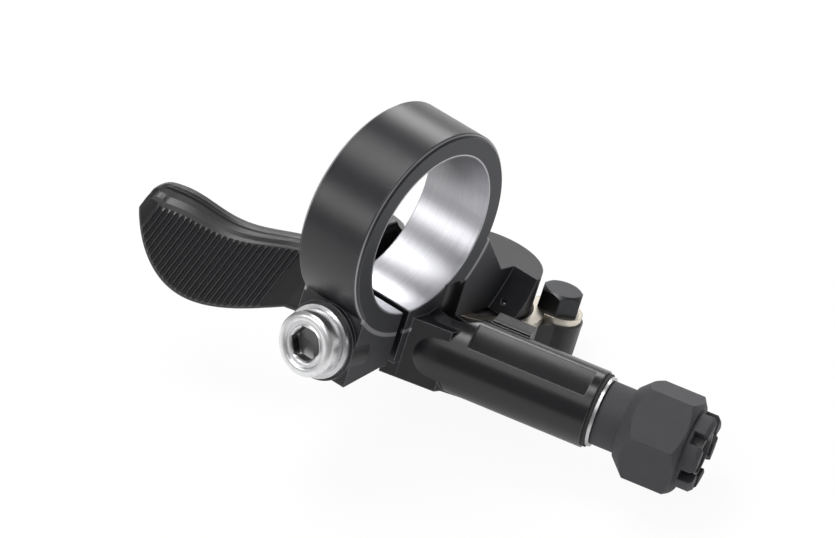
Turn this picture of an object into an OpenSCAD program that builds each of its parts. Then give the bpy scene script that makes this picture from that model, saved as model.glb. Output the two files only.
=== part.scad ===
// Thumb lever for a handlebar, with a split ring clamp, a ribbed paddle
// and a cable tube with a hand-turned adjuster.
// Origin: centre of the handlebar ring. +X runs along the bar, away from the paddle.
// The clamp is drawn level first and then tilted about the bar by clamp_tilt.

/* [Ring clamp] */
// Diameter of the handlebar in the ring
bar_d = 22.2; // [21:0.1:25]
// Width of the ring along the bar
ring_w = 10; // [9:0.5:12]
// Wall of the ring
ring_wall = 3; // [2.5:0.25:4]
// Chamfer on the edges of the ring
ring_chamfer = 0.5; // [0.2:0.1:0.8]
// Width of the slot between the ears
slot_w = 1.5; // [1:0.1:2]
// Depth of the rear ear below the ring's outside
ear_drop = 6.2; // [5.5:0.1:7]
// Reach of the rear ear behind the slot
ear_rear = 8.2; // [7:0.1:9]
// Reach of the front ear ahead of the slot
ear_front = 7.8; // [7:0.1:9]
// Reach of the milled face past the pivot
mill_past = 3.4; // [2:0.1:4]
// Angle that the clamp is tilted forwards about the bar
clamp_tilt = 25; // [15:1:35]

/* [Clamp bolt] */
// Thread diameter of the clamp bolt
bolt_d = 5; // [4:0.5:5]
// Head diameter of the clamp bolt
bolt_head_d = 8.5; // [8:0.1:9]
// Head height of the clamp bolt
bolt_head_h = 2.6; // [2.2:0.1:4]
// Size across the flats of the hex socket
bolt_key = 4; // [3:0.5:5]
// Depth of the hex socket
bolt_key_depth = 1.7; // [1.2:0.1:2]
// Distance of the bolt's axis below the ring's outside
bolt_drop = 1.9; // [1.5:0.1:2.4]
// Thickness of the washer under the head
bolt_washer_t = 0.8; // [0.5:0.1:1.2]
// Diameter of the round seat behind the washer
bolt_seat_d = 10.4; // [10:0.1:11]

/* [Pivot] */
// Distance of the pivot from the middle of the ring, along the bar
pivot_side = 1.2; // [0:0.1:1.6]
// Distance of the pivot ahead of the ring's outside
pivot_reach = 5.9; // [5.5:0.1:8]
// Diameter of the pivot boss
boss_d = 16; // [14:0.5:16]
// Height of the pivot boss
boss_h = 5.6; // [4.5:0.1:6]
// Height of the boss's top above the ring's underside
boss_rise = 5.7; // [5:0.1:7]
// Diameter of the shoulder of the pivot bolt
pivot_d = 5; // [4.5:0.1:5.4]
// Diameter of the pivot bolt's thread
pivot_thread_d = 4; // [3:0.1:4.2]
// Length of the pivot bolt's thread
pivot_thread_len = 4.4; // [3:0.1:4.4]
// Diameter of the pivot bolt's head
pivot_head_d = 9; // [8:0.1:9.5]
// Height of the pivot bolt's head
pivot_head_h = 2.4; // [2:0.1:3]
// Size across the flats of the pivot bolt's socket
pivot_key = 4; // [3:0.5:4]
// Thickness of the upper thrust washer
washer_top_t = 0.6; // [0.4:0.1:0.9]
// Thickness of the lower thrust washer
washer_low_t = 0.4; // [0.3:0.1:0.6]
// Thickness of the plate that carries the pivot from below
shelf_t = 2.4; // [2:0.1:3]
// Diameter of the plate round the pivot
shelf_d = 12.5; // [11:0.1:14]

/* [Lever] */
// Diameter of the lever's hub
hub_d = 14.8; // [14:0.1:15.2]
// Height of the lever's hub
hub_h = 4.2; // [3.8:0.1:5]
// Wall of the bushes in the hub
bush_wall = 0.9; // [0.7:0.1:1.1]
// Thickness of the lever's neck
neck_t = 4.4; // [3.5:0.1:4.8]
// Distance from the ring's side to the middle of the neck
neck_side = 4; // [3.8:0.1:5]
// Height of the neck's upper edge above the hub
neck_rise = 8.4; // [7:0.1:9.5]
// Length of the paddle from the neck to its tip
paddle_len = 23.8; // [20:0.1:28]
// Angle of the paddle to the bar
paddle_turn = 22; // [15:1:28]
// Height scale of the paddle
paddle_h = 12.6; // [11:0.1:14]
// Thickness of the paddle
paddle_t = 3.6; // [3:0.1:4.2]
// Height of the concave band at the paddle's tip
band_tip = 3.4; // [2:0.1:4]
// Height of the concave band at the paddle's root
band_root = 1.1; // [0.8:0.1:2]
// Number of ribs on the paddle
rib_n = 25; // [12:1:26]
// Distance between two ribs
rib_pitch = 0.78; // [0.6:0.02:0.85]
// Height of the ribs
rib_h = 0.35; // [0.2:0.05:0.5]
// Slant of the ribs
rib_slant = 19; // [10:1:24]

/* [Cable pinch] */
// Distance of the pinch bolt from the pivot
pinch_r = 11.7; // [11.6:0.1:13]
// Direction of the pinch bolt, seen from above
pinch_angle = 47; // [42:1:56]
// Diameter of the lug under the pinch bolt
pinch_lug_d = 7.4; // [7:0.1:8]
// Angle of the pinch plate's tongue round the boss
tongue_angle = 46; // [30:1:50]
// Width of the pinch plate's tongue
tongue_w = 1.5; // [1.2:0.1:1.6]
// Thickness of the pinch plate
pinch_plate_t = 1; // [0.8:0.1:1.4]
// Thread diameter of the pinch bolt
pinch_bolt_d = 3; // [2.5:0.1:3.5]
// Size across the flats of the pinch bolt's head
pinch_af = 5.2; // [5:0.1:5.5]
// Height of the pinch bolt's head
pinch_head_h = 2.8; // [2:0.1:3.2]
// Diameter of the cable that the plate clamps
cable_d = 1.2; // [1:0.1:1.6]

/* [Cable tube] */
// Diameter of the cable tube
tube_d = 10.4; // [10:0.1:11]
// Length of the cable tube
tube_len = 21.4; // [18:0.1:26]
// Angle of the cable tube to the bar
tube_turn = 20; // [15:1:25]
// Depth of the tube's axis below the ring's outside
tube_drop = 2.4; // [2:0.1:3]
// Distance from the ring's side to the tube's inner end
tube_side = 1.9; // [1.5:0.1:3]
// Distance of the tube's inner end behind the pivot
tube_back = 12.3; // [12:0.1:13]
// Diameter of the pocket where the cable leaves the tube
pocket_d = 6.4; // [5.5:0.1:6.8]
// Diameter of the cable guide
guide_d = 3.8; // [3.2:0.1:4]
// Depth of the scoop along the tube
scoop_depth = 0.55; // [0.3:0.05:0.7]

/* [Adjuster] */
// Wall of the threaded bush in the tube's end
stem_bush_wall = 1; // [0.8:0.1:1.3]
// Gap between the stem's inner end and the cable guide
stem_gap = 2.95; // [1:0.05:5]
// Diameter of the neck behind the knob
collar_d = 8.6; // [8:0.1:9.2]
// Length of the neck behind the knob
collar_len = 3.3; // [3:0.1:5]
// Size of the knob across its flats
knob_af = 12.2; // [11.5:0.1:13]
// Length of the knob's hexagon
knob_len = 8.6; // [8:0.1:10]
// Turn of the knob's hexagon
knob_turn = 20; // [0:1:59]
// Diameter of the crown
crown_d = 10.4; // [9.8:0.1:11]
// Length of the crown beyond the hexagon
crown_len = 2.4; // [1.5:0.1:3]
// Number of notches in the crown
crown_notches = 6; // [4:1:8]
// Width of the notches in the crown
notch_w = 1.8; // [1.2:0.1:2.2]
// Diameter of the socket for the cable housing
socket_d = 5.4; // [5:0.1:5.8]
// Depth of the socket for the cable housing
socket_len = 7; // [5:0.1:7.5]
// Diameter of the hole for the cable
bore_d = 2.4; // [2:0.1:2.6]

/* [Fits] */
// Radial clearance of a pushed-in piece
push_fit = 0.02; // [0.01:0.01:0.04]
// Radial clearance of a shaft in its bush
run_fit = 0.04; // [0.02:0.01:0.08]
// Gap between two faces that slide on each other
face_gap = 0.05; // [0.03:0.01:0.1]
// Radial clearance between a thread and its hole
thread_fit = 0.05; // [0.03:0.01:0.08]

/* [Hidden] */
$fn = 96;
e = 0.01;

black = [0.13, 0.13, 0.14];
dark = [0.22, 0.22, 0.23];
steel = [0.78, 0.78, 0.80];
zinc = [0.86, 0.83, 0.76];
resin = [0.30, 0.30, 0.31];
rubber = [0.08, 0.08, 0.08];

bore_r = bar_d / 2;
ring_r = bore_r + ring_wall;
side = ring_w / 2;
front0 = slot_w / 2;
ear_f = front0 + ear_front;
ear_b = -(front0 + ear_rear);
bolt_z = -(ring_r + bolt_drop);
seat_b = ear_b - 0.6;

pivot = [pivot_side, ring_r + pivot_reach];
boss_top = boss_rise - ring_r;
boss_bot = boss_top - boss_h;
washer_top0 = boss_bot - face_gap - washer_top_t;
hub_top = washer_top0 - face_gap;
hub_bot = hub_top - hub_h;
washer_low0 = hub_bot - face_gap - washer_low_t;
shelf_top = washer_low0 - face_gap;
shelf_bot = shelf_top - shelf_t;

bush_r = pivot_d / 2 + run_fit;
hub_bore_r = bush_r + bush_wall;
bush_flange_r = hub_bore_r + 1.2;
bush_flange_t = 0.5;
spring_wire = 0.8;
spring_turns = 2;
spring_in_r = bush_flange_r + 0.25;
spring_r = spring_in_r + spring_wire / 2;
pocket_r = spring_in_r + spring_wire + 0.25;
pocket_depth = (spring_turns + 1) * spring_wire + 0.3;

spring_top = hub_top - 0.15;
spring_leg_up = 2.2;
spring_leg_low = 1;

bumper_f = ear_f - 2.3;
bumper_z = bolt_z + 0.5;
bumper_seat = 1.2;
bumper_gap = 0.4;
bumper_d = 3.2;

tube_z = -(ring_r + tube_drop);
tube_in = [side + tube_side, pivot[1] - tube_back];
bush_out_r = tube_d / 2 - 1.2;
tube_bush_len = 5;
tube_bush_flange = 0.5;
seal_t = 0.5;
pocket_shift = 0.4;
guide_seat = 6.5;
guide_out = 1.9;
stem_d = 2 * (bush_out_r - stem_bush_wall);
stem_hole_r = stem_d / 2 + thread_fit;

knob_r = knob_af / 2 / cos(30);
collar0 = tube_len + seal_t + tube_bush_flange + face_gap;
stem_len = collar0 - guide_seat - stem_gap;
knob0 = collar0 + collar_len;
knob1 = knob0 + knob_len;
crown1 = knob1 + crown_len;

knob_taper = 2.2;
stem_grip = collar_len + 1.6;
seat_r = socket_d / 2 + 0.5;
seat_floor = 1;
seat0 = crown1 - 0.4 - socket_len - seat_floor;
liner_d = bore_d - 0.2;
liner_len = seat0 + seat_floor - collar0 + stem_len - 1;

pinch = [pivot[0] + pinch_r * cos(pinch_angle), pivot[1] + pinch_r * sin(pinch_angle)];
lug_bot = hub_bot - 0.3;

// Turns the level clamp about the bar to the position in use
module tilted() {
    rotate([-clamp_tilt, 0, 0])
        children();
}

// Places children on the tube's axis, at a distance s from its inner end, with +Z outwards
module on_tube(s) {
    translate([tube_in[0], tube_in[1], tube_z])
        rotate([0, 0, tube_turn])
            translate([s, 0, 0])
                rotate([0, 90, 0])
                    children();
}

// Places children on the pivot's axis
module on_pivot(z) {
    translate([pivot[0], pivot[1], z])
        children();
}

// A round bar along the bar direction, centred
module bar_rod(r, w) {
    rotate([0, 90, 0])
        cylinder(r = r, h = w, center = true);
}

// A round rod that points forwards from the plane y = f0
module forward_rod(r, f0, f1, z) {
    translate([0, f0, z])
        rotate([-90, 0, 0])
            cylinder(r = r, h = f1 - f0);
}

// Ring blank with chamfered edges, made by revolving its wall
module ring_blank() {
    rotate([0, 90, 0])
        rotate_extrude($fn = 160)
            polygon([
                [bore_r - 1, -side], [ring_r - ring_chamfer, -side],
                [ring_r, -side + ring_chamfer], [ring_r, side - ring_chamfer],
                [ring_r - ring_chamfer, side], [bore_r - 1, side]
            ]);
}

// Outline of one ear, seen along the bar
module ear_outline() {
    lower = -(ring_r + ear_drop);
    polygon([
        [ear_b, lower], [ear_b, -ring_r * 0.7], [ear_f, -ring_r * 0.7],
        [ear_f, lower + 2.2], [front0 + 1, lower + 1.6], [-front0 - 1.5, lower + 1.5]
    ]);
}

// Both ears as one block, before the slot is sawn
module ears() {
    rotate([90, 0, 90])
        linear_extrude(ring_w, center = true)
            ear_outline();
}

// Points of an arc from angle a0 to a1
function arc(c, r, a0, a1, n) = [for (i = [0 : n]) [c[0] + r * cos(a0 + (a1 - a0) * i / n), c[1] + r * sin(a0 + (a1 - a0) * i / n)]];

// Arm from the ring to the pivot boss, with a sloping top
module boss_arm_blank() {
    intersection() {
        translate([0, 0, boss_bot])
            linear_extrude(ring_r)
                polygon(concat([[side, ring_r * 0.4]], arc(pivot, boss_d / 2, -40, 230, 40), [[-side + 0.9, ring_r * 0.4]]));
        rotate([90, 0, 90])
            translate([0, 0, -boss_d])
                linear_extrude(2 * boss_d)
                    polygon([
                        [0, -3], [ring_r - 0.3, -3], [pivot[1] - 1, boss_top],
                        [pivot[1] + boss_d, boss_top], [pivot[1] + boss_d, boss_bot], [0, boss_bot]
                    ]);
    }
}

// The same arm with its near face milled flush with the ring's side
module boss_arm() {
    difference() {
        boss_arm_blank();
        translate([side, 0, 0])
            rotate([0, 90, 0])
                cylinder(r = pivot[1] + mill_past, h = boss_d);
    }
}

// Shelf under the hub that carries the lower end of the pivot bolt
module shelf() {
    translate([0, 0, shelf_bot])
        linear_extrude(shelf_t)
            polygon(concat([[side + 12, tube_in[1] + 4]], arc(pivot, shelf_d / 2, 20, 190, 28), [[-side, ear_f - 2], [side, ear_f - 4]]));
}

// Cable tube with a rounded inner end, a web towards the ear and a low block on its far side
module tube_solid() {
    on_tube(0)
        cylinder(d = tube_d, h = tube_len);
    on_tube(0)
        sphere(d = tube_d, $fn = 64);
    translate([0, 0, tube_z - tube_d / 2 + 0.8])
        linear_extrude(tube_d - 1.8)
            polygon([
                [side - 2, front0 + 0.4], [side - 2, ear_f], [tube_in[0] - 1.5, tube_in[1] + 4],
                [tube_in[0] + 4, tube_in[1] + 2], [tube_in[0] + 3, tube_in[1] - 3.5]
            ]);
    translate([tube_in[0], tube_in[1], tube_z])
        rotate([0, 0, tube_turn])
            translate([5, tube_d * 0.14, 0])
                cube([5.2, tube_d * 0.3, tube_d / 2 + 0.2]);
}

module bracket() {
    color(black)
        tilted()
            difference() {
                union() {
                    ring_blank();
                    ears();
                    forward_rod(bolt_seat_d / 2, seat_b, ear_b + 3, bolt_z);
                    boss_arm();
                    shelf();
                    tube_solid();
                }
                // Bore for the handlebar
                bar_rod(bore_r, 3 * ring_w);
                // Slot between the ears
                translate([-2 * ring_w, -front0, -2 * ring_r])
                    cube([4 * ring_w, slot_w, 2 * ring_r - bore_r / 2]);
                // Clearance hole in the rear ear, threaded hole in the front one
                forward_rod(bolt_d / 2 + 0.25, seat_b - 1, 0, bolt_z);
                forward_rod(bolt_d / 2 + thread_fit, -e, ear_f - 1.5, bolt_z);
                // Holes for the pivot bolt in the shelf and in the boss
                on_pivot(shelf_bot - 1)
                    cylinder(d = pivot_d + 2 * thread_fit, h = shelf_t + 2);
                on_pivot(boss_bot - e)
                    cylinder(d = pivot_thread_d + 2 * thread_fit, h = pivot_thread_len + 0.3);
                // Hole for the upper leg of the return spring
                on_pivot(boss_bot - e)
                    translate([spring_r, 0, 0])
                        cylinder(d = spring_wire + 0.2, h = spring_leg_up - (boss_bot - spring_top) + 0.3, $fn = 24);
                // Seat of the rest bumper
                translate([-side - e, bumper_f, bumper_z])
                    rotate([0, 90, 0])
                        cylinder(d = bumper_d + 2 * thread_fit, h = bumper_seat, $fn = 48);
                // Bores of the cable tube
                on_tube(tube_len - tube_bush_len - 0.1)
                    cylinder(r = bush_out_r + thread_fit, h = tube_bush_len + 1);
                on_tube(tube_len - stem_len - 0.5)
                    cylinder(r = stem_d / 2 + 0.3, h = stem_len);
                on_tube(0)
                    cylinder(d = guide_d + 2 * thread_fit, h = guide_seat);
                on_tube(0)
                    cylinder(d = bore_d, h = tube_len);
                // Pocket where the cable leaves the tube
                translate([tube_in[0] + pocket_shift, tube_in[1] + 1.6, tube_z - 2.4])
                    cylinder(d = pocket_d, h = tube_d, $fn = 64);
                // Scoop along the upper near side of the tube
                on_tube(4)
                    rotate([0, 0, 212])
                        translate([tube_d / 2 - scoop_depth + 14, 0, 0])
                            cylinder(r = 14, h = tube_len - 5.2);
            }
}

module clamp_bolt() {
    head0 = seat_b - bolt_washer_t;
    color(steel)
        tilted()
            difference() {
                union() {
                    translate([0, head0, bolt_z])
                        rotate([90, 0, 0])
                            rotate_extrude()
                                polygon([
                                    [0, 0], [bolt_head_d / 2, 0], [bolt_head_d / 2, bolt_head_h - 0.5],
                                    [bolt_head_d / 2 - 0.5, bolt_head_h], [0, bolt_head_h]
                                ]);
                    forward_rod(bolt_d / 2, head0 - e, ear_f - 2, bolt_z);
                }
                translate([0, head0 - bolt_head_h - e, bolt_z])
                    rotate([-90, 30, 0])
                        cylinder(d = bolt_key / cos(30), h = bolt_key_depth, $fn = 6);
            }
}

module clamp_washer() {
    color(steel)
        tilted()
            difference() {
                forward_rod(bolt_seat_d / 2 - 0.4, seat_b - bolt_washer_t, seat_b, bolt_z);
                forward_rod(bolt_d / 2 + 0.15, seat_b - 2, seat_b + 1, bolt_z);
            }
}

// A washer from z0 up, on the pivot's axis
module pivot_ring(r_out, r_in, z0, t) {
    on_pivot(z0)
        difference() {
            cylinder(r = r_out, h = t);
            translate([0, 0, -1])
                cylinder(r = r_in, h = t + 2);
        }
}

module pivot_bolt() {
    color(steel)
        tilted()
            difference() {
                on_pivot(shelf_bot - pivot_head_h)
                    rotate_extrude()
                        polygon([
                            [0, 0], [pivot_head_d / 2 - 0.5, 0], [pivot_head_d / 2, 0.5],
                            [pivot_head_d / 2, pivot_head_h], [pivot_d / 2, pivot_head_h],
                            [pivot_d / 2, pivot_head_h + boss_bot - shelf_bot],
                            [pivot_thread_d / 2, pivot_head_h + boss_bot - shelf_bot],
                            [pivot_thread_d / 2, pivot_head_h + boss_bot - shelf_bot + pivot_thread_len],
                            [0, pivot_head_h + boss_bot - shelf_bot + pivot_thread_len]
                        ]);
                on_pivot(shelf_bot - pivot_head_h - e)
                    cylinder(d = pivot_key / cos(30), h = pivot_head_h * 0.7, $fn = 6);
            }
}

module thrust_washer_top() {
    color(zinc)
        tilted()
            pivot_ring(boss_d / 2 - 0.1, pocket_r + 0.15, washer_top0, washer_top_t);
}

module thrust_washer_low() {
    color(steel)
        tilted()
            pivot_ring(shelf_d / 2 - 0.3, pivot_d / 2 + 0.15, washer_low0, washer_low_t);
}

// Points of one ring of the spring's wire, at angle a and height z
function wire_ring(a, z) = [
    for (k = [0 : 7])
        let (r = spring_r + spring_wire / 2 * cos(45 * k))
        [r * cos(a), r * sin(a), z - spring_wire / 2 * sin(45 * k)]
];

// Skin of a tube of n rings with m points each, closed at both ends
function skin(n, m) = concat(
    [[for (k = [0 : m - 1]) k]],
    [for (i = [0 : n - 2]) for (k = [0 : m - 1]) [i * m + k, (i + 1) * m + k, (i + 1) * m + (k + 1) % m, i * m + (k + 1) % m]],
    [[for (k = [m - 1 : -1 : 0]) (n - 1) * m + k]]
);

module return_spring() {
    steps = 24 * spring_turns;
    z0 = spring_top - spring_wire / 2 - spring_turns * (spring_wire + 0.05);
    color(steel)
        tilted()
            on_pivot(0) {
                polyhedron(
                    points = [for (i = [0 : steps]) for (p = wire_ring(15 * i, z0 + i / 24 * (spring_wire + 0.05))) p],
                    faces = skin(steps + 1, 8)
                );
                translate([spring_r, 0, spring_top - spring_wire / 2])
                    cylinder(d = spring_wire, h = spring_leg_up + spring_wire / 2, $fn = 24);
                translate([spring_r, 0, z0 - spring_wire / 2 - spring_leg_low])
                    cylinder(d = spring_wire, h = spring_leg_low + spring_wire / 2, $fn = 24);
            }
}

module rest_bumper() {
    tip = side + neck_side - neck_t / 2 - bumper_gap;
    color(rubber)
        tilted()
            translate([-tip, bumper_f, bumper_z])
                rotate([0, 90, 0])
                    cylinder(d = bumper_d, h = tip - side + bumper_seat - 0.05, $fn = 48);
}

// A sleeve on the tube's axis
module tube_ring(r_out, r_in, s0, len) {
    on_tube(s0)
        difference() {
            cylinder(r = r_out, h = len);
            translate([0, 0, -1])
                cylinder(r = r_in, h = len + 2);
        }
}

module cable_guide() {
    color(zinc)
        tilted()
            on_tube(guide_out)
                difference() {
                    rotate_extrude()
                        polygon([
                            [cable_d / 2 + 0.2, 0.6], [guide_d / 2 - 0.5, 0], [guide_d / 2, 0.5],
                            [guide_d / 2, guide_seat - guide_out - 0.1], [cable_d / 2 + 0.2, guide_seat - guide_out - 0.1]
                        ]);
                }
}

module tube_seal() {
    color(rubber)
        tilted()
            tube_ring(tube_d / 2 - 0.25, bush_out_r + 0.1, tube_len, seal_t);
}

module tube_bush() {
    color(steel)
        tilted()
            on_tube(tube_len - tube_bush_len)
                rotate_extrude()
                    polygon([
                        [stem_hole_r, 0], [bush_out_r, 0], [bush_out_r, tube_bush_len + seal_t],
                        [bush_out_r + 0.7, tube_bush_len + seal_t], [bush_out_r + 0.7, tube_bush_len + seal_t + tube_bush_flange],
                        [stem_hole_r, tube_bush_len + seal_t + tube_bush_flange]
                    ]);
}

// Direction from the pivot to the neck
neck_dir = [-0.8, -0.6];
neck_x = -(side + neck_side);
root = [neck_x - 2.6, 0.4];
root_mid = (hub_top + hub_bot) / 2 + 2.6;

// Route of the neck in plan, with the lower and upper edge at each point
NECK = [
    [pivot[0] + 5 * neck_dir[0], pivot[1] + 5 * neck_dir[1], hub_bot, hub_top],
    [pivot[0] + 8.4 * neck_dir[0], pivot[1] + 8.4 * neck_dir[1], hub_bot, hub_top],
    [pivot[0] + 10.6 * neck_dir[0], pivot[1] + 10.6 * neck_dir[1], hub_bot, hub_top + 0.8 * neck_rise],
    [neck_x + 0.2, ring_r - 2.6, hub_bot, hub_top + neck_rise],
    [neck_x, ear_f - 0.2, hub_bot - 0.1, hub_top + 0.97 * neck_rise],
    [neck_x, ear_f - 4.4, hub_bot - 0.2, hub_top + 0.8 * neck_rise],
    [root[0], root[1], lower_at(0), upper_at(0)],
    [root[0] - 4 * cos(paddle_turn), root[1] - 4 * sin(paddle_turn), lower_at(4), upper_at(4)]
];

// Shares of the length, the upper and the lower edge of the paddle at distance u from its root:
// the upper edge dips and then rises to a round tip, the lower edge falls and then sweeps up to the tip
function along(u) = 0.985 * u / paddle_len;
function upper_at(u) =
    let (s = along(u), w = max(0, s - 0.86) / 0.14)
    root_mid + paddle_h * (0.314 - 0.058 * cos(180 * (min(s, 0.86) - 0.46) / 0.4) - 0.31 * (1 - sqrt(1 - pow(w, 4))));
function lower_at(u) =
    let (s = along(u))
    root_mid - paddle_h * (s < 0.44 ? 0.389 + 0.321 * sin(90 * s / 0.44) : 0.71 - 0.773 * pow((s - 0.44) / 0.56, 2));

// Smooth curve through the rows around row i, at share t of the way to the next
function curve(rows, i, t) =
    let (a = rows[max(0, i - 1)], b = rows[i], c = rows[i + 1], d = rows[min(len(rows) - 1, i + 2)])
    0.5 * (2 * b + (c - a) * t + (2 * a - 5 * b + 4 * c - d) * t * t + (3 * b - a - 3 * c + d) * t * t * t);

// One row at share t between two rows, curved in plan and straight in height
function neck_row(i, t) =
    let (p = curve(NECK, i, t))
    [p[0], p[1], NECK[i][2] * (1 - t) + NECK[i + 1][2] * t, NECK[i][3] * (1 - t) + NECK[i + 1][3] * t];

// Direction back along the route at a row, by a short step along it
function neck_dir_at(i, t) =
    let (p = curve(NECK, i, min(1, t + 0.02)), q = curve(NECK, i, max(0, t - 0.02)), v = [q[0] - p[0], q[1] - p[1]])
    v / norm(v);

tip_len = 5;
tip_u = paddle_len - tip_len;
function tip_share(u) = u > tip_u ? sqrt(max(0.03, 1 - pow((u - tip_u) / tip_len, 2))) : 1;

// Station: [x, f, along_x, along_f, lower, upper, thickness, slant, band depth, rib, band height]
function neck_stations() = [
    for (i = [0 : 5]) for (k = [0 : 3])
        let (t = k / 4, r = neck_row(i, t), v = neck_dir_at(i, t), g = i == 5 ? t : 0)
        [r[0], r[1], v[0], v[1], r[2], r[3], neck_t + (paddle_t - neck_t) * g, rib_slant * g, 0.25 + 0.75 * g, 0, band_root]
];
function paddle_station(u, rib) =
    [root[0] - u * cos(paddle_turn), root[1] - u * sin(paddle_turn), cos(paddle_turn), sin(paddle_turn),
        lower_at(u), upper_at(u), paddle_t * (0.55 + 0.45 * tip_share(u)), rib_slant, 1, rib,
        band_root + (band_tip - band_root) * pow(u / paddle_len, 1.4)];
rib_u = (paddle_len - rib_n * rib_pitch) * 0.62;
function rib_stations() = [
    for (k = [0 : rib_n - 1]) for (q = [[0, 0], [0.2, 1], [0.48, 1], [0.68, 0]])
        paddle_station(rib_u + (k + q[0]) * rib_pitch, q[1])
];
function tip_stations() = [
    for (q = [0.15, 0.4, 0.6, 0.78, 0.9, 0.97, 1])
        paddle_station(rib_u + rib_n * rib_pitch + q * (paddle_len - rib_u - rib_n * rib_pitch), 0)
];
STATIONS = concat(neck_stations(), [paddle_station(0, 0), paddle_station(rib_u * 0.5, 0)], rib_stations(), tip_stations());

// Section of the lever at a station: [across, share of the height]
// The rider's side has the ribs and a concave band above them, and the top is a narrow rim.
function section(s) =
    let (t = s[6] / 2, b = s[8] * min(1, s[6] / paddle_t), r = s[9] * rib_h, h = s[5] - s[4], w = min(0.4, s[10] / h))
    [
        [-t + 0.6, 0], [-t + 0.15, 0.25 / h], [-t, 0.6 / h], [-t - r, 0.85 / h],
        [-t - r, 1 - w], [-t, 1 - 0.88 * w], [-t + 0.35 * b, 1 - 0.68 * w], [-t + 1.05 * b, 1 - 0.45 * w],
        [-t + 1.45 * b, 1 - 0.21 * w], [-t + 1.55 * b, 1 - 0.07 * w], [-t + 1.8 * b + 0.2, 1],
        [t - 0.5, 1], [t, 1 - min(0.2, 0.5 / h)], [t, min(0.2, 0.5 / h)], [t - 0.5, 0]
    ];

// Points of a station in space
function ring_at(s) = [
    for (q = section(s))
        let (z = s[4] + q[1] * (s[5] - s[4]), k = tan(s[7]) * (z - root_mid + 2))
        [s[0] - q[0] * s[3] + k * s[2], s[1] + q[0] * s[2] + k * s[3], z]
];

module lever_blade() {
    polyhedron(
        points = [for (s = STATIONS) for (p = ring_at(s)) p],
        faces = skin(len(STATIONS), 15)
    );
}

// Arm from the hub to the lug under the pinch bolt
module pinch_arm() {
    translate([0, 0, hub_bot])
        linear_extrude(hub_h)
            polygon(concat(
                arc(pivot, hub_d / 2 - 0.6, pinch_angle - 60, pinch_angle - 70, 2),
                arc(pinch, pinch_lug_d / 2 - 0.4, pinch_angle - 80, pinch_angle + 80, 20),
                arc(pivot, hub_d / 2 - 0.6, pinch_angle + 70, pinch_angle + 60, 2)
            ));
}

module lever() {
    color(black)
        tilted()
            difference() {
                union() {
                    on_pivot(hub_bot)
                        rotate_extrude()
                            polygon([
                                [0, 0], [hub_d / 2 - 0.3, 0], [hub_d / 2, 0.3], [hub_d / 2, hub_h / 2 - 1],
                                [hub_d / 2 - 0.8, hub_h / 2 - 0.4], [hub_d / 2 - 0.8, hub_h / 2 + 0.4],
                                [hub_d / 2, hub_h / 2 + 1], [hub_d / 2, hub_h - 0.3], [hub_d / 2 - 0.3, hub_h], [0, hub_h]
                            ]);
                    lever_blade();
                    pinch_arm();
                    translate([pinch[0], pinch[1], lug_bot])
                        cylinder(d = pinch_lug_d, h = hub_top - lug_bot);
                }
                // Bore for the two bushes, with a seat for the lower flange
                on_pivot(hub_bot - 1)
                    cylinder(r = hub_bore_r + push_fit, h = hub_h + 2);
                on_pivot(hub_bot - 1)
                    cylinder(r = bush_flange_r + push_fit, h = bush_flange_t + 1);
                on_pivot(hub_top - bush_flange_t)
                    cylinder(r = bush_flange_r + push_fit, h = bush_flange_t + 1);
                // Pocket for the return spring and the hole for its lower leg
                on_pivot(hub_top - pocket_depth)
                    difference() {
                        cylinder(r = pocket_r, h = pocket_depth + 1);
                        translate([0, 0, -1])
                            cylinder(r = bush_flange_r + push_fit, h = pocket_depth + 1 - bush_flange_t);
                    }
                on_pivot(hub_bot - 1)
                    translate([spring_r, 0, 0])
                        cylinder(d = spring_wire + 0.2, h = hub_h, $fn = 24);
                // Threaded hole of the pinch bolt
                translate([pinch[0], pinch[1], lug_bot - 1])
                    cylinder(d = pinch_bolt_d + 2 * thread_fit, h = hub_h + 3);
            }
}

// A flanged bush in profile: sleeve upwards from the flange at z = 0
module bush(sleeve) {
    rotate_extrude()
        polygon([
            [bush_r, 0], [bush_flange_r, 0], [bush_flange_r, bush_flange_t],
            [hub_bore_r, bush_flange_t], [hub_bore_r, sleeve], [bush_r, sleeve]
        ]);
}

module bush_top() {
    color(dark)
        tilted()
            on_pivot(hub_top)
                mirror([0, 0, 1])
                    bush(hub_h / 2 - 0.2);
}

module bush_low() {
    color(dark)
        tilted()
            on_pivot(hub_bot)
                bush(hub_h / 2 - 0.2);
}

module pinch_plate() {
    in_r = boss_d / 2 + 0.3;
    color(zinc)
        tilted()
            difference() {
                union() {
                    translate([pinch[0], pinch[1], hub_top])
                        cylinder(d = pinch_lug_d - 0.6, h = pinch_plate_t);
                    // Tongue that follows the rim of the boss
                    translate([0, 0, hub_top])
                        linear_extrude(pinch_plate_t)
                            polygon(concat(
                                arc(pivot, in_r, pinch_angle - tongue_angle, pinch_angle, 24),
                                arc(pivot, in_r + tongue_w, pinch_angle, pinch_angle - tongue_angle, 24)
                            ));
                }
                translate([pinch[0], pinch[1], hub_top - 1])
                    cylinder(d = pinch_bolt_d + 0.3, h = pinch_plate_t + 2);
                // Groove that holds the cable
                translate([pinch[0], pinch[1], hub_top])
                    rotate([0, 0, pinch_angle])
                        translate([0, pinch_bolt_d / 2 + cable_d / 2 + 0.1, 0])
                            rotate([0, 90, 0])
                                cylinder(d = cable_d, h = 20, center = true, $fn = 32);
            }
}

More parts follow.
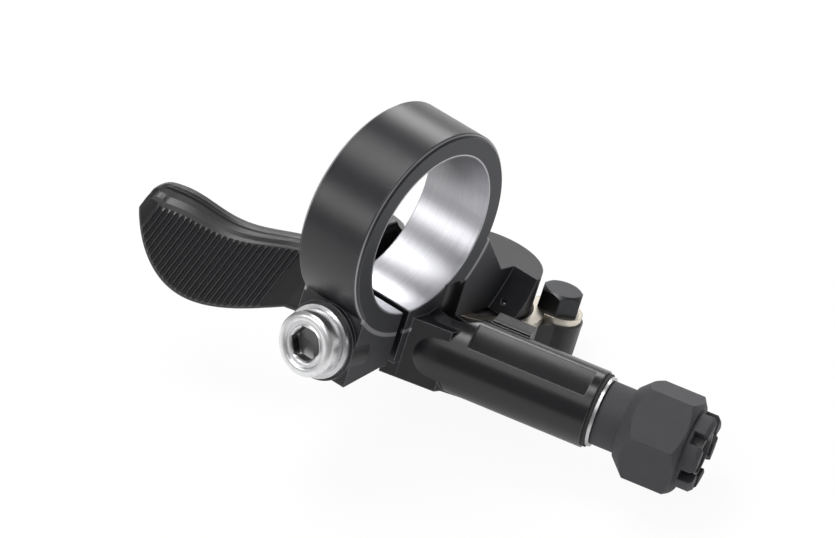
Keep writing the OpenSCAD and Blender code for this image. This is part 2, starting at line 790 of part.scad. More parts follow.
module pinch_bolt() {
    z0 = hub_top + pinch_plate_t;
    color(black)
        tilted()
            translate([pinch[0], pinch[1], 0]) {
                intersection() {
                    translate([0, 0, z0])
                        cylinder(d = pinch_af / cos(30), h = pinch_head_h, $fn = 6);
                    translate([0, 0, z0])
                        rotate_extrude()
                            polygon([
                                [0, 0], [pinch_af / 2 + 0.5, 0], [pinch_af / 2 + 0.5, pinch_head_h - 0.6],
                                [pinch_af / 2 - 0.2, pinch_head_h], [0, pinch_head_h]
                            ]);
                }
                translate([0, 0, lug_bot + 0.4])
                    cylinder(d = pinch_bolt_d, h = z0 - lug_bot - 0.3);
            }
}

module adjuster_stem() {
    color(steel)
        tilted()
            tube_ring(stem_d / 2, bore_d / 2, collar0 - stem_len, stem_len + stem_grip);
}

// Hexagon of the knob, with both ends turned to a cone
module knob_hex() {
    intersection() {
        on_tube(knob0)
            rotate([0, 0, knob_turn])
                cylinder(r = knob_r, h = knob_len, $fn = 6);
        on_tube(knob0)
            rotate_extrude()
                polygon([
                    [0, 0], [collar_d / 2 + 0.5, 0], [knob_r + 0.4, knob_taper + 0.5],
                    [knob_r + 0.4, knob_len - 1.1], [knob_r - 1.2, knob_len], [0, knob_len]
                ]);
    }
}

module adjuster_knob() {
    color(resin)
        tilted()
            difference() {
                union() {
                    on_tube(collar0)
                        cylinder(d = collar_d, h = collar_len + 1);
                    knob_hex();
                    on_tube(knob1 - 1)
                        rotate_extrude()
                            polygon([
                                [0, 0], [crown_d / 2, 0], [crown_d / 2, 1 + crown_len - 0.5],
                                [crown_d / 2 - 0.5, 1 + crown_len], [0, 1 + crown_len]
                            ]);
                }
                on_tube(collar0 - 1)
                    cylinder(r = stem_d / 2 + push_fit, h = stem_grip + 1);
                on_tube(collar0)
                    cylinder(r = seat_r - 0.8, h = crown1);
                on_tube(seat0 - 1.1)
                    cylinder(r = seat_r + run_fit, h = crown1 - seat0 + 3);
                // Notches of the crown
                for (i = [0 : crown_notches - 1])
                    on_tube(knob1 + 0.5)
                        rotate([0, 0, knob_turn + (i + 0.5) * 360 / crown_notches])
                            translate([seat_r - 0.6, -notch_w / 2, 0])
                                cube([crown_d, notch_w, crown_len + 1]);
            }
}

module housing_seat() {
    color(dark)
        tilted()
            tube_ring(seat_r, socket_d / 2, seat0 + seat_floor, socket_len);
}

module detent_spring() {
    color(steel)
        tilted()
            tube_ring(seat_r - 0.2, liner_d / 2 + 0.3, seat0 - 0.7, 0.4);
}

module stem_liner() {
    color(zinc)
        tilted()
            on_tube(collar0 - stem_len + 1)
                rotate_extrude()
                    polygon([
                        [cable_d / 2 + 0.15, 0], [liner_d / 2, 0], [liner_d / 2, liner_len - seat_floor],
                        [seat_r, liner_len - seat_floor], [seat_r, liner_len],
                        [cable_d / 2 + 0.15, liner_len]
                    ]);
}

bracket();
clamp_bolt();
clamp_washer();
pivot_bolt();
thrust_washer_top();
thrust_washer_low();
return_spring();
rest_bumper();
cable_guide();
tube_seal();
tube_bush();
lever();
bush_top();
bush_low();
pinch_plate();
pinch_bolt();
adjuster_stem();
adjuster_knob();
housing_seat();
detent_spring();
stem_liner();
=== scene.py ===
"""Finish of a dropper post remote lever: black forged clamp, ribbed paddle, bright bolts and a matte knob."""

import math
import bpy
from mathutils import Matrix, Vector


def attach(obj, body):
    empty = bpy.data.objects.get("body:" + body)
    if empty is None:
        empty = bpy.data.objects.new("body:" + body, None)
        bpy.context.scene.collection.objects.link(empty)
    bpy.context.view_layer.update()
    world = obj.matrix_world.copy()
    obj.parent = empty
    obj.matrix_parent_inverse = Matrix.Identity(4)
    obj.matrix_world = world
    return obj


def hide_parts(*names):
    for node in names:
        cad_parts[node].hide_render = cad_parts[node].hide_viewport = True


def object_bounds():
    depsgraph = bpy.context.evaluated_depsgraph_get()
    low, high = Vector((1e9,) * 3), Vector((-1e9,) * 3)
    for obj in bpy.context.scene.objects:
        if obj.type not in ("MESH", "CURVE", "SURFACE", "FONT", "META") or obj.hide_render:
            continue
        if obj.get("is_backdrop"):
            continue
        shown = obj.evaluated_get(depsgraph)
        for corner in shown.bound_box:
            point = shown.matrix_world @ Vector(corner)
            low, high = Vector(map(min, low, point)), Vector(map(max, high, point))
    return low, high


bl_info = {
    "name": "Dropper lever finish",
    "version": (1, 0, 0),
    "blender": (4, 5, 0),
    "location": "View3D > Sidebar > Lever",
    "description": "Dresses the packed lever with threads, machined faces and worn black metal",
    "category": "Object",
}

import bpy
import numpy as np
from mathutils import Matrix, Vector

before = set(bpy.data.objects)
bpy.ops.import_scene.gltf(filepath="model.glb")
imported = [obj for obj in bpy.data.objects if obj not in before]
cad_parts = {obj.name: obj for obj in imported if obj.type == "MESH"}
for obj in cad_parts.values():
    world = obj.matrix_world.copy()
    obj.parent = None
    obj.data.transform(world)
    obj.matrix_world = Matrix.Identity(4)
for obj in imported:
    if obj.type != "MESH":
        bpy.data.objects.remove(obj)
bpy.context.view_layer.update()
MM = 0.001

# The clamp is tilted forwards about the bar by this angle, and the tube lies at this angle to the bar
TILT = math.radians(25.0)
TUBE_TURN = math.radians(20.0)


def place(side, fwd, up):
    """Row-frame point in metres of a point of the level clamp in millimetres: turned about X by minus the tilt."""
    c, s = math.cos(TILT), math.sin(TILT)
    return Vector((side, fwd * c + up * s, up * c - fwd * s)) * MM


def heading(side, fwd, up):
    """Row-frame unit vector of a direction of the level clamp."""
    return (place(side, fwd, up) / MM).normalized()


TUBE_START = place(6.9, 7.7, -16.5)
TUBE_AXIS = heading(math.cos(TUBE_TURN), math.sin(TUBE_TURN), 0.0)
BOLT_AXIS = heading(0.0, 1.0, 0.0)
PIVOT_AXIS = heading(0.0, 0.0, 1.0)
PIVOT_POINT = place(1.2, 20.0, -14.0)


# --- shader maths ---------------------------------------------------------------------------------


class Value:
    """A number on a node socket. Python arithmetic on it adds Math nodes to the tree."""

    def __init__(self, kit, socket):
        self.kit = kit
        self.socket = socket

    def maths(self, operation, *args):
        return self.kit.node("ShaderNodeMath", {"operation": operation}, dict(enumerate(args)))

    def __add__(self, other):
        return self.maths("ADD", self, other)

    __radd__ = __add__

    def __sub__(self, other):
        return self.maths("SUBTRACT", self, other)

    def __rsub__(self, other):
        return self.maths("SUBTRACT", other, self)

    def __mul__(self, other):
        return self.maths("MULTIPLY", self, other)

    __rmul__ = __mul__

    def __truediv__(self, other):
        return self.maths("DIVIDE", self, other)

    def __abs__(self):
        return self.maths("ABSOLUTE", self)

    def root(self):
        return self.maths("SQRT", self)

    def least(self, other):
        return self.maths("MINIMUM", self, other)

    def most(self, other):
        return self.maths("MAXIMUM", self, other)

    def above(self, edge, soft):
        """0 below the edge and 1 above it, with a straight ramp of the given width between."""
        grown = (self - (edge - soft / 2)) / soft
        return grown.maths("ADD", grown, 0.0).least(1.0).most(0.0)

    def below(self, edge, soft):
        return 1.0 - self.above(edge, soft)


class Finish:
    """One procedural material: adds nodes by type and wraps their outputs."""

    def __init__(self, name):
        self.material = bpy.data.materials.new(name)
        self.material.use_nodes = True
        self.tree = self.material.node_tree
        self.tree.nodes.clear()
        self.output = self.tree.nodes.new("ShaderNodeOutputMaterial")
        self.shader = self.tree.nodes.new("ShaderNodeBsdfPrincipled")
        self.tree.links.new(self.shader.outputs["BSDF"], self.output.inputs["Surface"])

    def node(self, kind, settings, inputs, out=0):
        """A node of a type: its settings are set first, then the values or links of its sockets."""
        made = self.tree.nodes.new(kind)
        for key, setting in settings.items():
            setattr(made, key, setting)
        for key, given in inputs.items():
            self.feed(made.inputs[key], given)
        return Value(self, made.outputs[out])

    def feed(self, socket, given):
        if isinstance(given, Value):
            self.tree.links.new(given.socket, socket)
        else:
            socket.default_value = given

    def place_mm(self):
        """Object coordinates in millimetres."""
        place_node = self.tree.nodes.new("ShaderNodeTexCoord")
        return self.node(
            "ShaderNodeVectorMath", {"operation": "SCALE"}, {0: Value(self, place_node.outputs["Object"]), "Scale": 1000.0}
        )

    def axis(self, vector, direction):
        """Length of a vector along a direction."""
        return self.node("ShaderNodeVectorMath", {"operation": "DOT_PRODUCT"}, {0: vector, 1: tuple(direction)}, "Value")

    def moved(self, vector, origin):
        return self.node("ShaderNodeVectorMath", {"operation": "SUBTRACT"}, {0: vector, 1: tuple(v / MM for v in origin)})

    def noise(self, vector, scale, detail=3.0, rough=0.55):
        return self.node(
            "ShaderNodeTexNoise", {}, {"Vector": vector, "Scale": scale, "Detail": detail, "Roughness": rough}, "Fac"
        )

    def point(self, x, y, z):
        return self.node("ShaderNodeCombineXYZ", {}, {0: x, 1: y, 2: z})

    def tint(self, share, first, second):
        """Colour that goes from the first to the second with the share."""
        made = self.tree.nodes.new("ShaderNodeMix")
        made.data_type = "RGBA"
        self.feed(made.inputs[0], share)
        for socket, colour in ((made.inputs[6], first), (made.inputs[7], second)):
            self.feed(socket, colour if isinstance(colour, Value) else (*colour, 1.0))
        return Value(self, made.outputs[2])

    def edge_normal(self, radius):
        """Normal of the surface with its sharp edges eased by a small radius, as a deburred edge has."""
        return self.node("ShaderNodeBevel", {"samples": 6}, {"Radius": radius * MM}, "Normal")

    def worn_edge(self, radius):
        """1 on a sharp edge and 0 on a flat, from how far the eased normal leans from the true one."""
        eased = self.edge_normal(radius)
        true = Value(self, self.tree.nodes.new("ShaderNodeNewGeometry").outputs["Normal"])
        lean = self.node("ShaderNodeVectorMath", {"operation": "DOT_PRODUCT"}, {0: eased, 1: true}, "Value")
        return (1.0 - lean).above(0.12, 0.2)

    def surface(self, colour, rough, metal=0.0, height=None, strength=0.2, distance=0.05, radius=0.12, coat=0.0):
        """Feeds the shader: colour, roughness and metal, and a bump over the eased edges."""
        for key, given in (("Base Color", colour), ("Roughness", rough), ("Metallic", metal)):
            if key == "Base Color" and not isinstance(given, Value):
                given = (*given, 1.0)
            self.feed(self.shader.inputs[key], given)
        self.shader.inputs["Coat Weight"].default_value = coat
        self.shader.inputs["Coat Roughness"].default_value = 0.12
        normal = self.edge_normal(radius)
        if height is not None:
            normal = self.node(
                "ShaderNodeBump", {}, {"Height": height, "Strength": strength, "Distance": distance * MM, "Normal": normal}, "Normal"
            )
        self.feed(self.shader.inputs["Normal"], normal)
        return self.material


def wear(node_name, material):
    """Puts a material into every slot of a CAD node."""
    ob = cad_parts[node_name]
    if not ob.material_slots:
        ob.data.materials.append(material)
    for slot in ob.material_slots:
        slot.material = material


# --- meshes ---------------------------------------------------------------------------------------


def closed_skin(name, points, body, material, loop, sharp=35.0):
    """A closed mesh over points [round, along, xyz]: a ring round each step along the profile.

    With loop the last ring joins the first, and otherwise one corner point closes each end."""
    around, along = points.shape[:2]
    i = np.arange(around)
    j = np.arange(along if loop else along - 1)
    i, j = np.meshgrid(i, j, indexing="ij")
    i2, j2 = (i + 1) % around, (j + 1) % along
    quads = np.stack([i * along + j, i2 * along + j, i2 * along + j2, i * along + j2], -1).reshape(-1, 4)
    verts = points.reshape(-1, 3)
    faces = [quads]
    if not loop:
        ring = np.arange(around)
        for column, pole in ((0, around * along), (along - 1, around * along + 1)):
            first, second = ring * along + column, (ring + 1) % around * along + column
            if column == 0:
                first, second = second, first
            faces.append(np.stack([first, second, np.full(around, pole)], -1))
        verts = np.concatenate([verts, points[:, 0].mean(0)[None], points[:, -1].mean(0)[None]])
    sizes_of = np.concatenate([np.full(len(f), f.shape[1]) for f in faces])
    corners = np.concatenate([f.reshape(-1) for f in faces])
    mesh = bpy.data.meshes.new(name)
    mesh.vertices.add(len(verts))
    mesh.vertices.foreach_set("co", verts.reshape(-1).astype(np.float32))
    mesh.loops.add(len(corners))
    mesh.loops.foreach_set("vertex_index", corners.astype(np.int32))
    mesh.polygons.add(len(sizes_of))
    mesh.polygons.foreach_set("loop_start", np.concatenate([[0], np.cumsum(sizes_of)[:-1]]).astype(np.int32))
    mesh.polygons.foreach_set("use_smooth", np.ones(len(sizes_of), bool))
    mesh.update(calc_edges=True)
    mesh.set_sharp_from_angle(angle=math.radians(sharp))
    ob = bpy.data.objects.new(name, mesh)
    bpy.context.scene.collection.objects.link(ob)
    mesh.materials.append(material)
    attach(ob, body)
    return ob


def frame_of(axis):
    """Rows u, v, w of a right-handed frame whose w is the axis."""
    w = np.array(axis, float)
    u = np.cross(w, [0.0, 0.0, 1.0])
    u /= np.linalg.norm(u)
    return np.stack([u, np.cross(w, u), w])


def turned(radius, height, origin, axis, turn=0.0):
    """Points origin + r (cos a u + sin a v) + h w, in millimetres, for arrays r [round, along] and h [along]."""
    angle = turn + np.arange(radius.shape[0]) * 2 * np.pi / radius.shape[0]
    u, v, w = frame_of(axis)
    spoke = np.cos(angle)[:, None, None] * u + np.sin(angle)[:, None, None] * v
    return (spoke * radius[..., None] + height[None, :, None] * w) * MM + np.array(origin)


def thread_rows(core, crest, pitch, start, stop, around):
    """Screw thread: r = core + (crest - core) * tooth(h / pitch - a / 2 pi), where tooth is a flat-topped triangle
    wave of 0 to 1, faded to the core over a pitch at both ends. Gives r [round, along] and h [along]."""
    h = np.linspace(start, stop, int((stop - start) / pitch * 12))
    angle = np.arange(around) * 2 * np.pi / around
    phase = (h[None, :] / pitch - angle[:, None] / (2 * np.pi)) % 1.0
    tooth = np.clip(1.3 - 3.0 * np.abs(phase - 0.5), 0.0, 1.0)
    fade = np.clip(np.minimum(h - start, stop - h) / pitch, 0.0, 1.0)
    return core + (crest - core) * tooth * fade[None, :], h


def ring_rows(profile, around):
    """Rows of a profile of (radius, height, hexness): hexness 1 makes the ring a hexagon of that inner radius,
    r / cos(a mod 60 - 30)."""
    r, h, hexness = np.array(profile, float).T
    angle = np.degrees(np.arange(around) * 2 * np.pi / around)
    corner = 1.0 / np.cos(np.radians((angle % 60.0) - 30.0))
    return r[None, :] * (1.0 + hexness[None, :] * (corner[:, None] - 1.0)), h


def joined(*rows):
    """Rows of several stretches of one surface, one after the other."""
    return np.concatenate([r for r, _ in rows], axis=1), np.concatenate([h for _, h in rows])


# --- finishes -------------------------------------------------------------------------------------


def black_forging(colours):
    """Bracket: satin black outside with a brushed band round the ring, bare bore, milled grey sides, a glossy tube, and
    a light grey outer chamfer on the ring that is part bare metal and part painted highlight.

    The masks are distances: from the bar's axis, sqrt(y y + z z), across the ring, |x|, and along the tube."""
    kit = Finish("black_forging")
    p = kit.place_mm()
    x = kit.axis(p, (1, 0, 0))
    y = kit.axis(p, (0, 1, 0))
    z = kit.axis(p, (0, 0, 1))
    r = (y * y + z * z).root()
    across = abs(x)
    bore = r.below(11.3, 0.12) * across.below(5.2, 0.1)
    ring = r.below(14.4, 0.2) * across.below(5.2, 0.1)
    milled = across.above(4.96, 0.04) * across.below(5.1, 0.05) * (1.0 - bore)
    # Outer chamfer band of the ring: bare machined metal, painted light grey so that it also stands in for the
    # highlight line along the edge
    chamfer_highlight = r.above(13.86, 0.08) * across.above(4.6, 0.08) * ring
    q = kit.moved(p, TUBE_START)
    along = kit.axis(q, TUBE_AXIS)
    square = kit.node("ShaderNodeVectorMath", {"operation": "LENGTH"}, {0: q}, "Value")
    out = (square * square - along * along).most(0.0).root()
    tube = along.above(0.5, 1.5) * out.below(5.9, 0.3)

    turn = kit.node("ShaderNodeMath", {"operation": "ARCTAN2"}, {0: z, 1: y})
    brushed = kit.noise(kit.point(x * 9.0, turn * 1.6, r * 0.6), 1.0, 6.0, 0.75)
    lay = kit.noise(kit.point(r * 7.0, turn * 1.2, x), 1.0, 5.0, 0.7)
    cloud = kit.noise(p, 0.35, 4.0, 0.6)
    grain = kit.noise(p, 6.0, 4.0, 0.7)
    fine = kit.noise(p, 26.0, 2.0, 0.6)
    edge = kit.worn_edge(0.22)

    black = kit.tint(cloud.above(0.5, 0.5), colours.forging_black, tuple(v * 1.45 for v in colours.forging_black))
    gloss = kit.tint(tube, black, tuple(v * 0.72 for v in colours.forging_black))
    sides = kit.tint(milled, gloss, colours.milled_grey)
    sides = kit.tint(milled * lay.above(0.55, 0.3) * 0.35, sides, tuple(v * 1.5 for v in colours.milled_grey))
    # Partly painted highlight: worn edges and the ring's outer chamfer band are coloured light grey
    worn_edge_and_chamfer_highlight = kit.tint((chamfer_highlight.most(edge * 0.55)) * (0.55 + 0.45 * grain), sides, (0.42, 0.42, 0.44))
    bare = kit.tint(brushed.above(0.5, 0.5), (0.60, 0.60, 0.62), (0.44, 0.44, 0.47))
    colour = kit.tint(bore, worn_edge_and_chamfer_highlight, bare)

    rough = 0.25 + 0.10 * brushed + 0.06 * grain
    rough = rough * (1.0 - tube) + (0.17 + 0.10 * cloud + 0.05 * grain) * tube
    rough = rough * (1.0 - milled) + (0.42 + 0.12 * lay) * milled
    rough = rough * (1.0 - bore) + (0.30 + 0.12 * brushed) * bore
    metal = bore.most(chamfer_highlight * 0.7).most(milled * 0.35).most(edge * 0.35)
    height = (brushed * 0.6 * ring + grain * 0.25 + fine * 0.12) * (1.0 - tube * 0.75) + lay * milled * 0.4
    return kit.surface(colour, rough, metal, height, 0.32, 0.05, 0.22)


def black_lever(colours):
    """Lever: satin black coat, matte between the ribs, thin and shiny where the thumb and the edges rub it."""
    kit = Finish("black_lever")
    p = kit.place_mm()
    cloud = kit.noise(p, 0.4, 4.0, 0.6)
    grain = kit.noise(p, 7.0, 4.0, 0.7)
    fine = kit.noise(p, 24.0, 2.0, 0.6)
    edge = kit.worn_edge(0.16)
    rubbed = cloud.above(0.56, 0.25)
    base = kit.tint(cloud, colours.lever_black, tuple(v * 1.7 for v in colours.lever_black))
    colour = kit.tint(edge * (0.25 + 0.5 * grain), base, (0.20, 0.20, 0.21))
    rough = 0.30 + 0.12 * grain - 0.08 * rubbed
    return kit.surface(colour, rough, edge * 0.2, grain * 0.3 + fine * 0.15, 0.22, 0.04, 0.16)


def polished_steel(name, colour, rough, axis, origin, warm=0.0, socket_shade_radius=0.0, ease=0.14):
    """Bright turned steel: fine rings round its own axis, faint handling marks, and painted shade within the radius of
    its socket's well.
    """
    kit = Finish(name)
    p = kit.place_mm()
    q = kit.moved(p, origin)
    along = kit.axis(q, axis)
    size = kit.node("ShaderNodeVectorMath", {"operation": "LENGTH"}, {0: q}, "Value")
    out = (size * size - along * along).most(0.0).root()
    rings = kit.noise(kit.point(out * 6.0, along * 6.0, 0.0), 1.0, 4.0, 0.7)
    marks = kit.noise(p, 1.4, 5.0, 0.65)
    grain = kit.noise(p, 9.0, 3.0, 0.6)
    second = tuple(max(0.0, c * (0.78 - 0.1 * warm * i)) for i, c in enumerate(colour))
    tint = kit.tint(marks.above(0.5, 0.4) * 0.7, colour, second)
    # Painted shade: the colour darkens to about a sixth within this radius of the axis, standing in for the shade down
    # the bolt's hex socket
    if socket_shade_radius:
        tint = kit.tint(out.below(socket_shade_radius, 0.25), tint, tuple(0.16 * c for c in colour))
    return kit.surface(tint, rough + 0.14 * rings + 0.08 * grain, 1.0, rings * 0.5 + grain * 0.2, 0.12, 0.02, ease)


def matte_polymer(name, colour, rough=0.56):
    """Moulded plastic: even spark-eroded grain, faint flow clouds and edges polished by handling."""
    kit = Finish(name)
    p = kit.place_mm()
    grain = kit.noise(p, 11.0, 4.0, 0.75)
    cloud = kit.noise(p, 0.6, 3.0, 0.5)
    edge = kit.worn_edge(0.2)
    base = kit.tint(cloud, colour, tuple(c * 1.3 for c in colour))
    tint = kit.tint(edge * (0.3 + 0.4 * grain), base, tuple(min(1.0, c * 2.1 + 0.02) for c in colour))
    return kit.surface(tint, rough + 0.14 * grain - 0.12 * edge, 0.0, grain, 0.38, 0.045, 0.2)


def rubber_skin():
    """Soft black rubber with a dusty bloom."""
    kit = Finish("rubber_skin")
    p = kit.place_mm()
    bloom = kit.noise(p, 1.1, 4.0, 0.6)
    grain = kit.noise(p, 14.0, 3.0, 0.6)
    colour = kit.tint(bloom, (0.012, 0.012, 0.012), (0.030, 0.030, 0.031))
    return kit.surface(colour, 0.62 + 0.15 * grain, 0.0, grain, 0.25, 0.03, 0.1)


def studio_floor(colour):
    """Floor that shows its own pale colour to the camera and to mirrors, and keeps a soft part of the shadow."""
    kit = Finish("studio_floor")
    kit.shader.inputs["Base Color"].default_value = (*colour, 1.0)
    kit.shader.inputs["Roughness"].default_value = 0.9
    kit.shader.inputs["Specular IOR Level"].default_value = 0.1
    seen = kit.tree.nodes.new("ShaderNodeLightPath")
    camera = Value(kit, seen.outputs["Is Camera Ray"])
    mirror = Value(kit, seen.outputs["Is Glossy Ray"])
    glow = kit.tree.nodes.new("ShaderNodeEmission")
    glow.inputs["Color"].default_value = (*colour, 1.0)
    glow.inputs["Strength"].default_value = 1.0
    mixed = kit.tree.nodes.new("ShaderNodeMixShader")
    kit.feed(mixed.inputs[0], (camera * 0.93).most(mirror * 0.3))
    kit.tree.links.new(kit.shader.outputs["BSDF"], mixed.inputs[1])
    kit.tree.links.new(glow.outputs["Emission"], mixed.inputs[2])
    kit.tree.links.new(mixed.outputs["Shader"], kit.output.inputs["Surface"])
    return kit.material


# --- properties -----------------------------------------------------------------------------------


def colour_prop(name, description, default):
    return bpy.props.FloatVectorProperty(name=name, description=description, subtype="COLOR", size=3, min=0, max=1, default=default)


class LeverColours(bpy.types.PropertyGroup):
    """Colours of the lever's finishes."""

    forging_black: colour_prop("Forging", "Anodised black of the clamp and tube", (0.010, 0.010, 0.012))
    milled_grey: colour_prop("Milled sides", "Grey of the faces milled beside the bore", (0.050, 0.051, 0.057))
    lever_black: colour_prop("Paddle", "Black coat of the lever", (0.007, 0.007, 0.008))
    bright: colour_prop("Bright steel", "Clamp bolt and washer", (0.80, 0.80, 0.81))
    zinc: colour_prop("Zinc", "Thrust washers, guide and pinch plate", (0.78, 0.74, 0.66))
    knob: colour_prop("Knob", "Moulded grey of the adjuster knob", (0.036, 0.036, 0.041))
    floor: colour_prop("Floor", "Floor and background", (1.0, 1.0, 1.0))


class LeverSizes(bpy.types.PropertyGroup):
    """Sizes of the turned details and of the picture."""

    bolt_pitch: bpy.props.FloatProperty(name="Clamp bolt pitch", description="Distance of two threads", default=0.0008, unit="LENGTH")
    stem_pitch: bpy.props.FloatProperty(name="Stem pitch", description="Distance of two threads", default=0.0008, unit="LENGTH")
    azimuth: bpy.props.FloatProperty(name="Azimuth", description="Camera's turn round the lever", default=math.radians(41.5), subtype="ANGLE")
    elevation: bpy.props.FloatProperty(name="Elevation", description="Camera's height angle", default=math.radians(43.5), subtype="ANGLE")
    distance: bpy.props.FloatProperty(name="Distance", description="Camera to the lever", default=0.9, unit="LENGTH")
    view_width: bpy.props.FloatProperty(name="View width", description="Width seen at the lever", default=0.1053, unit="LENGTH")


def sizes():
    return bpy.context.scene.lever_sizes


def colours():
    return bpy.context.scene.lever_colours


# --- operators ------------------------------------------------------------------------------------


class LeverPart(bpy.types.Operator):
    """Shared settings of the lever's operators."""

    bl_idname = "lever.part"
    bl_label = "Lever part"
    bl_options = {"REGISTER", "UNDO"}


class MakeBracket(LeverPart):
    """Finishes the forged bracket: ring, ears, arm, boss and tube"""

    bl_idname = "lever.bracket"
    bl_label = "Bracket"

    def execute(self, context):
        wear("bracket", black_forging(colours()))
        return {"FINISHED"}


class MakeLever(LeverPart):
    """Finishes the ribbed paddle with its neck and hub"""

    bl_idname = "lever.paddle"
    bl_label = "Paddle"

    def execute(self, context):
        wear("lever", black_lever(colours()))
        return {"FINISHED"}


class MakeBolts(LeverPart):
    """Finishes the bolts and washers, and adds the thread that shows in the slot"""

    bl_idname = "lever.bolts"
    bl_label = "Bolts and washers"

    def execute(self, context):
        # The clamp bolt's steel has painted shade down its hex socket, within the radius given below
        bright = polished_steel(
            "bright_steel", tuple(colours().bright), 0.2, BOLT_AXIS, place(0, 0, -16.0), socket_shade_radius=2.2, ease=0.06
        )
        around = 96
        socket = ring_rows([
            (0.4, -11.10, 1), (1.9, -11.25, 1), (2.0, -11.3, 1), (2.0, -12.55, 1), (2.30, -12.74, 0.25), (2.42, -12.78, 0),
            (2.62, -12.62, 0), (2.95, -12.62, 0), (3.12, -12.90, 0), (3.25, -12.95, 0), (3.75, -12.95, 0),
            (4.0, -12.81, 0), (4.2, -12.60, 0), (4.25, -12.4, 0), (4.25, -10.65, 0), (4.18, -10.45, 0), (4.0, -10.35, 0),
            (2.55, -10.35, 0), (2.5, -10.30, 0), (2.5, -1.6, 0),
        ], around)
        screw = thread_rows(2.14, 2.5, sizes().bolt_pitch / MM, -1.5, 6.2, around)
        point = ring_rows([(2.1, 6.25, 0), (1.7, 6.5, 0), (0.4, 6.5, 0)], around)
        radius, height = joined(socket, screw, point)
        bolt = closed_skin(
            "clamp_bolt_turned", turned(radius, height, place(0, 0, -16.0), BOLT_AXIS), "bracket", bright, False
        )
        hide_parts("clamp_bolt")
        wear("clamp_washer", bright)
        wear("pivot_bolt", polished_steel("pivot_steel", (0.10, 0.10, 0.105), 0.28, PIVOT_AXIS, PIVOT_POINT))
        wear("pinch_bolt", polished_steel("pinch_steel", (0.075, 0.076, 0.08), 0.30, PIVOT_AXIS, place(4.8, 31.1, -14)))
        return {"FINISHED"}


class MakePivot(LeverPart):
    """Finishes the washers, bushes, spring, pinch plate and guide round the pivot"""

    bl_idname = "lever.pivot"
    bl_label = "Pivot pieces"

    def execute(self, context):
        zinc = polished_steel("zinc_steel", tuple(colours().zinc), 0.26, PIVOT_AXIS, PIVOT_POINT, 0.6)
        for name in ("thrust_washer_top", "thrust_washer_low", "pinch_plate", "cable_guide"):
            wear(name, zinc)
        wire = polished_steel("spring_wire", (0.42, 0.42, 0.43), 0.3, PIVOT_AXIS, PIVOT_POINT)
        wear("return_spring", wire)
        wear("detent_spring", wire)
        bush = matte_polymer("bush_polymer", (0.10, 0.10, 0.105), 0.45)
        for name in ("bush_top", "bush_low", "housing_seat", "stem_liner"):
            wear(name, bush)
        rubber = rubber_skin()
        wear("rest_bumper", rubber)
        wear("tube_seal", rubber)
        return {"FINISHED"}


class MakeAdjuster(LeverPart):
    """Finishes the knob and cuts the thread of its stem"""

    bl_idname = "lever.adjuster"
    bl_label = "Adjuster"

    def execute(self, context):
        wear("adjuster_knob", matte_polymer("knob_polymer", tuple(colours().knob)))
        steel = polished_steel("stem_steel", (0.55, 0.55, 0.56), 0.22, TUBE_AXIS, TUBE_START)
        wear("tube_bush", steel)
        around = 72
        length = 17.9
        screw = thread_rows(2.62, 3.0, sizes().stem_pitch / MM, 0.3, length - 4.9, around)
        outer = joined(
            ring_rows([(1.2, 0.2, 0), (1.4, 0.0, 0), (2.4, 0.0, 0), (2.6, 0.2, 0)], around), screw,
            ring_rows([(2.62, length - 4.85, 0), (3.0, length - 4.8, 0), (3.0, length, 0), (1.4, length, 0), (1.2, length - 0.2, 0)], around),
        )
        start = TUBE_START + TUBE_AXIS * 9.45 * MM
        stem = closed_skin("adjuster_stem_turned", turned(*outer, start, TUBE_AXIS), "adjuster", steel, True)
        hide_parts("adjuster_stem")
        return {"FINISHED"}


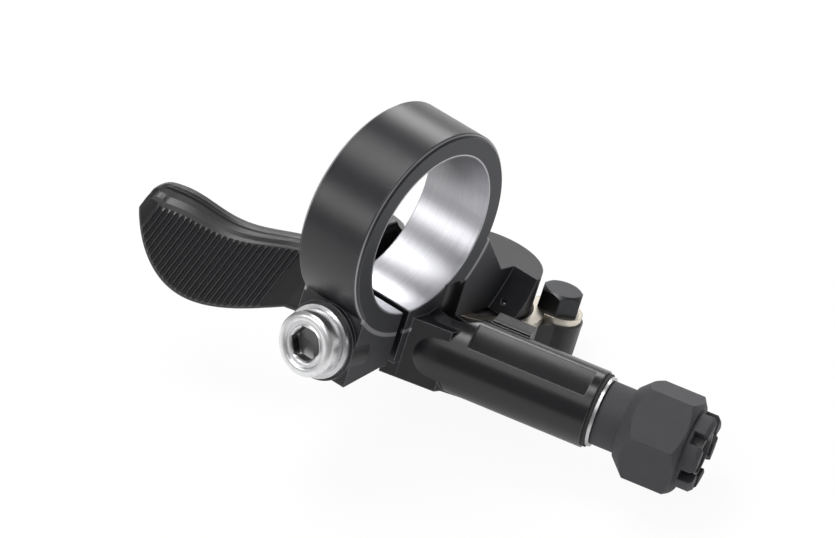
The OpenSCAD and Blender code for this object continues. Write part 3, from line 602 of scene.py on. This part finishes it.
class MakeStage(LeverPart):
    """Sets the floor, the lamps, the world and the camera"""

    bl_idname = "lever.stage"
    bl_label = "Stage"

    def execute(self, context):
        scene = context.scene
        low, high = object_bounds()
        ground = float(low[2])
        corners = np.array([[-3, -3, 0], [3, -3, 0], [3, 3, 0], [-3, 3, 0]], float) + [0, 0, ground]
        mesh = bpy.data.meshes.new("floor")
        mesh.from_pydata(corners.tolist(), [], [(0, 1, 2, 3)])
        floor = bpy.data.objects.new("floor", mesh)
        scene.collection.objects.link(floor)
        mesh.materials.append(studio_floor(tuple(colours().floor)))
        floor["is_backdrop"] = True

        world = bpy.data.worlds.new("studio") if scene.world is None else scene.world
        scene.world = world
        world.use_nodes = True
        tree = world.node_tree
        tree.nodes.clear()
        out = tree.nodes.new("ShaderNodeOutputWorld")
        back = tree.nodes.new("ShaderNodeBackground")
        seen = tree.nodes.new("ShaderNodeLightPath")
        level = tree.nodes.new("ShaderNodeMath")
        level.operation = "MULTIPLY_ADD"
        level.inputs[1].default_value = 0.7
        level.inputs[2].default_value = 0.3
        tree.links.new(seen.outputs["Is Camera Ray"], level.inputs[0])
        tree.links.new(level.outputs[0], back.inputs["Strength"])
        back.inputs["Color"].default_value = (1.0, 1.0, 1.0, 1.0)
        tree.links.new(back.outputs[0], out.inputs[0])

        aim = Vector((0.0, 0.0, -0.008))
        back_dir, right, up = camera_axes(sizes().azimuth, sizes().elevation)
        for name, spot, size, power in (
            ("lamp_top", up * 0.50 + back_dir * 0.34 - right * 0.10, 0.32, 2.3),
            ("lamp_rear", up * 0.54 - back_dir * 0.24 + right * 0.09, 0.22, 1.0),
            ("lamp_left", -right * 0.5 + up * 0.10 + back_dir * 0.30, 0.20, 0.6),
            ("lamp_front", back_dir * 0.76 - right * 0.20 + up * 0.28, 0.40, 0.9),
        ):
            lamp = bpy.data.lights.new(name, "AREA")
            lamp.size = size
            lamp.energy = power
            ob = bpy.data.objects.new(name, lamp)
            ob.location = aim + spot
            ob.rotation_euler = spot.to_track_quat("Z", "Y").to_euler()
            scene.collection.objects.link(ob)

        camera = bpy.data.cameras.new("camera")
        camera.sensor_width = 36.0
        camera.lens = 36.0 * sizes().distance / sizes().view_width
        camera.clip_start = 0.05
        camera.clip_end = 20.0
        ob = bpy.data.objects.new("camera", camera)
        centre = right * 0.00204 - up * 0.00655
        turn = Matrix((right, up, back_dir)).transposed()
        ob.matrix_world = Matrix.Translation(centre + back_dir * sizes().distance) @ turn.to_4x4()
        scene.collection.objects.link(ob)
        scene.camera = ob
        scene.view_settings.view_transform = "Standard"
        return {"FINISHED"}


def camera_axes(azimuth, elevation):
    """Backward, right and up vectors of a camera that looks along +Y at azimuth 0, turned by azimuth and raised by elevation."""
    sa, ca, se, ce = math.sin(azimuth), math.cos(azimuth), math.sin(elevation), math.cos(elevation)
    back = Vector((sa * ce, -ca * ce, se))
    right = Vector((ca, sa, 0.0))
    return back, right, back.cross(right)


class LeverPanel(bpy.types.Panel):
    """Lists the lever's pieces in the sidebar"""

    bl_idname = "VIEW3D_PT_lever"
    bl_label = "Dropper lever"
    bl_space_type = "VIEW_3D"
    bl_region_type = "UI"
    bl_category = "Lever"

    def draw(self, context):
        for group in (context.scene.lever_colours, context.scene.lever_sizes):
            box = self.layout.box()
            for key in group.__annotations__:
                box.prop(group, key)
        for operator in (MakeBracket, MakeLever, MakeBolts, MakePivot, MakeAdjuster, MakeStage):
            self.layout.operator(operator.bl_idname)


CLASSES = (LeverColours, LeverSizes, MakeBracket, MakeLever, MakeBolts, MakePivot, MakeAdjuster, MakeStage, LeverPanel)


def register():
    for item in CLASSES:
        bpy.utils.register_class(item)
    bpy.types.Scene.lever_colours = bpy.props.PointerProperty(type=LeverColours)
    bpy.types.Scene.lever_sizes = bpy.props.PointerProperty(type=LeverSizes)


def unregister():
    del bpy.types.Scene.lever_sizes
    del bpy.types.Scene.lever_colours
    for item in reversed(CLASSES):
        bpy.utils.unregister_class(item)


def main():
    """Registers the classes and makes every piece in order."""
    register()
    bpy.ops.lever.bracket()
    bpy.ops.lever.paddle()
    bpy.ops.lever.bolts()
    bpy.ops.lever.pivot()
    bpy.ops.lever.adjuster()
    bpy.ops.lever.stage()


if __name__ == "__main__":
    main()
